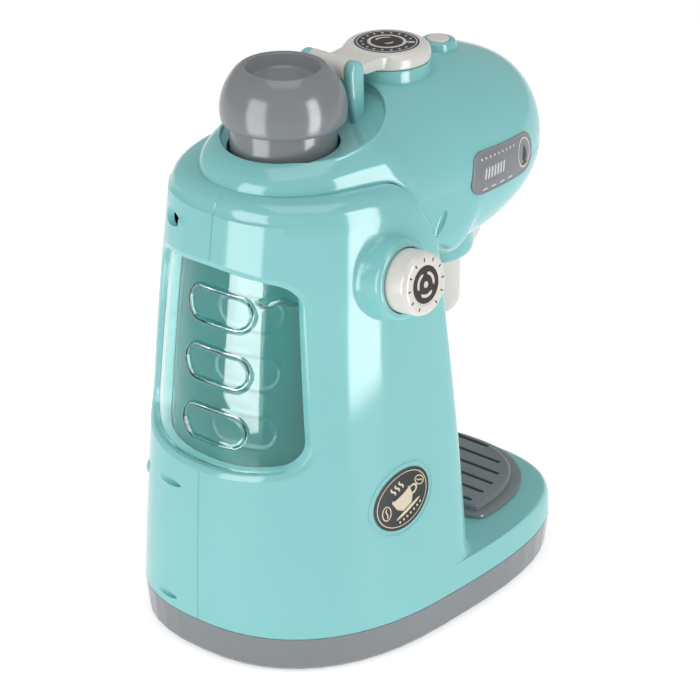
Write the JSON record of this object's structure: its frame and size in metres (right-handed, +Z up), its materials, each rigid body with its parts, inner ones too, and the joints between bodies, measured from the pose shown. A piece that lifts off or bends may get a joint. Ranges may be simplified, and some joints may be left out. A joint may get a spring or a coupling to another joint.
{
  "type": "toy coffee maker",
  "caption": "Toy pump coffee maker: hollow tower on a low base, overhanging rounded head with a hinged lid lever, push-down pump cap, side knob, spout and lift-out drip tray.",
  "frame": {"origin": "bottom centre of the bounding box, on the plane the foot pads stand on; the body's plane of symmetry lies 3.39 mm to +X of it because the knob stands out on -X only", "axes": "+Z up, -Y to the front where the spout and drip tray are, +Y to the rear where the window is, knob and badges on the -X side"},
  "size_m": [0.1364, 0.1895, 0.239],
  "materials": {
    "mint": "glossy mint moulded plastic",
    "gray": "glossy mid-gray moulded plastic",
    "white": "glossy warm white moulded plastic",
    "sticker": "printed plastic film",
    "steel": "plain zinc-plated steel",
    "rubber": "soft foot pad",
    "board": "circuit board laminate",
    "speaker": "speaker frame and magnet",
    "clear": "clear styrene panel",
    "tank": "glossy dark teal moulded plastic"
  },
  "bodies": {
    "body": {"body_left": "mint", "body_right": "mint", "case_screw_top": "steel", "case_screw_middle": "steel", "case_screw_low": "steel", "base_cover": "gray", "battery_door": "gray", "door_screw": "steel", "contact_plus": "steel", "contact_minus": "steel", "foot_front_left": "rubber", "foot_front_right": "rubber", "foot_rear_left": "rubber", "foot_rear_right": "rubber", "sound_board": "board", "loudspeaker": "speaker", "head_upper": "mint", "head_lower": "mint", "head_screw_left": "steel", "head_screw_right": "steel", "pump_cylinder": "gray", "pump_spring": "steel", "suction_tube": "white", "lid_pin": "steel", "capsule_cup": "white", "knob_bush": "gray", "button_bezel": "mint", "button_spring": "steel", "button_board": "board", "spout_collar": "mint", "spout_nozzle": "white", "front_tap": "white", "window_panel": "clear", "tank_wall": "tank", "body_badge": "sticker", "head_plate": "gray"},
    "lid": {"lid_lever": "white", "lid_badge": "sticker"},
    "knob": {"start_knob": "white", "knob_shaft": "white", "knob_clip": "steel", "knob_badge": "sticker"},
    "pump": {"pump_cap": "gray"},
    "button": {"push_button": "white"},
    "tray": {"drip_tray": "gray"},
    "grate": {"drip_grate": "gray"}
  },
  "joints": [
    {"name": "lid_hinge", "type": "hinge", "parent": "body", "child": "lid", "pos_m": [0.00339, 0.0114, 0.2312], "axis": [-1, 0, 0], "range_deg": [0, 95]},
    {"name": "knob_turn", "type": "hinge", "parent": "body", "child": "knob", "pos_m": [-0.0494, 0.0369, 0.1632], "axis": [-0.9945, 0, 0.1045], "continuous": true},
    {"name": "pump_press", "type": "slide", "parent": "body", "child": "pump", "axis": [0, 0, -1], "range_m": [0, 0.008], "stiffness_N_per_m": 400, "springref_m": -0.004, "deforming": ["pump_spring"]},
    {"name": "button_press", "type": "slide", "parent": "body", "child": "button", "axis": [0, 0, -1], "range_m": [0, 0.0015], "stiffness_N_per_m": 600, "springref_m": -0.001, "deforming": ["button_spring"]},
    {"name": "tray_lift", "type": "slide", "parent": "body", "child": "tray", "axis": [0, 0, 1], "range_m": [0, 0.03]},
    {"name": "grate_lift", "type": "slide", "parent": "tray", "child": "grate", "axis": [0, 0, 1], "range_m": [0, 0.03]}
  ]
}
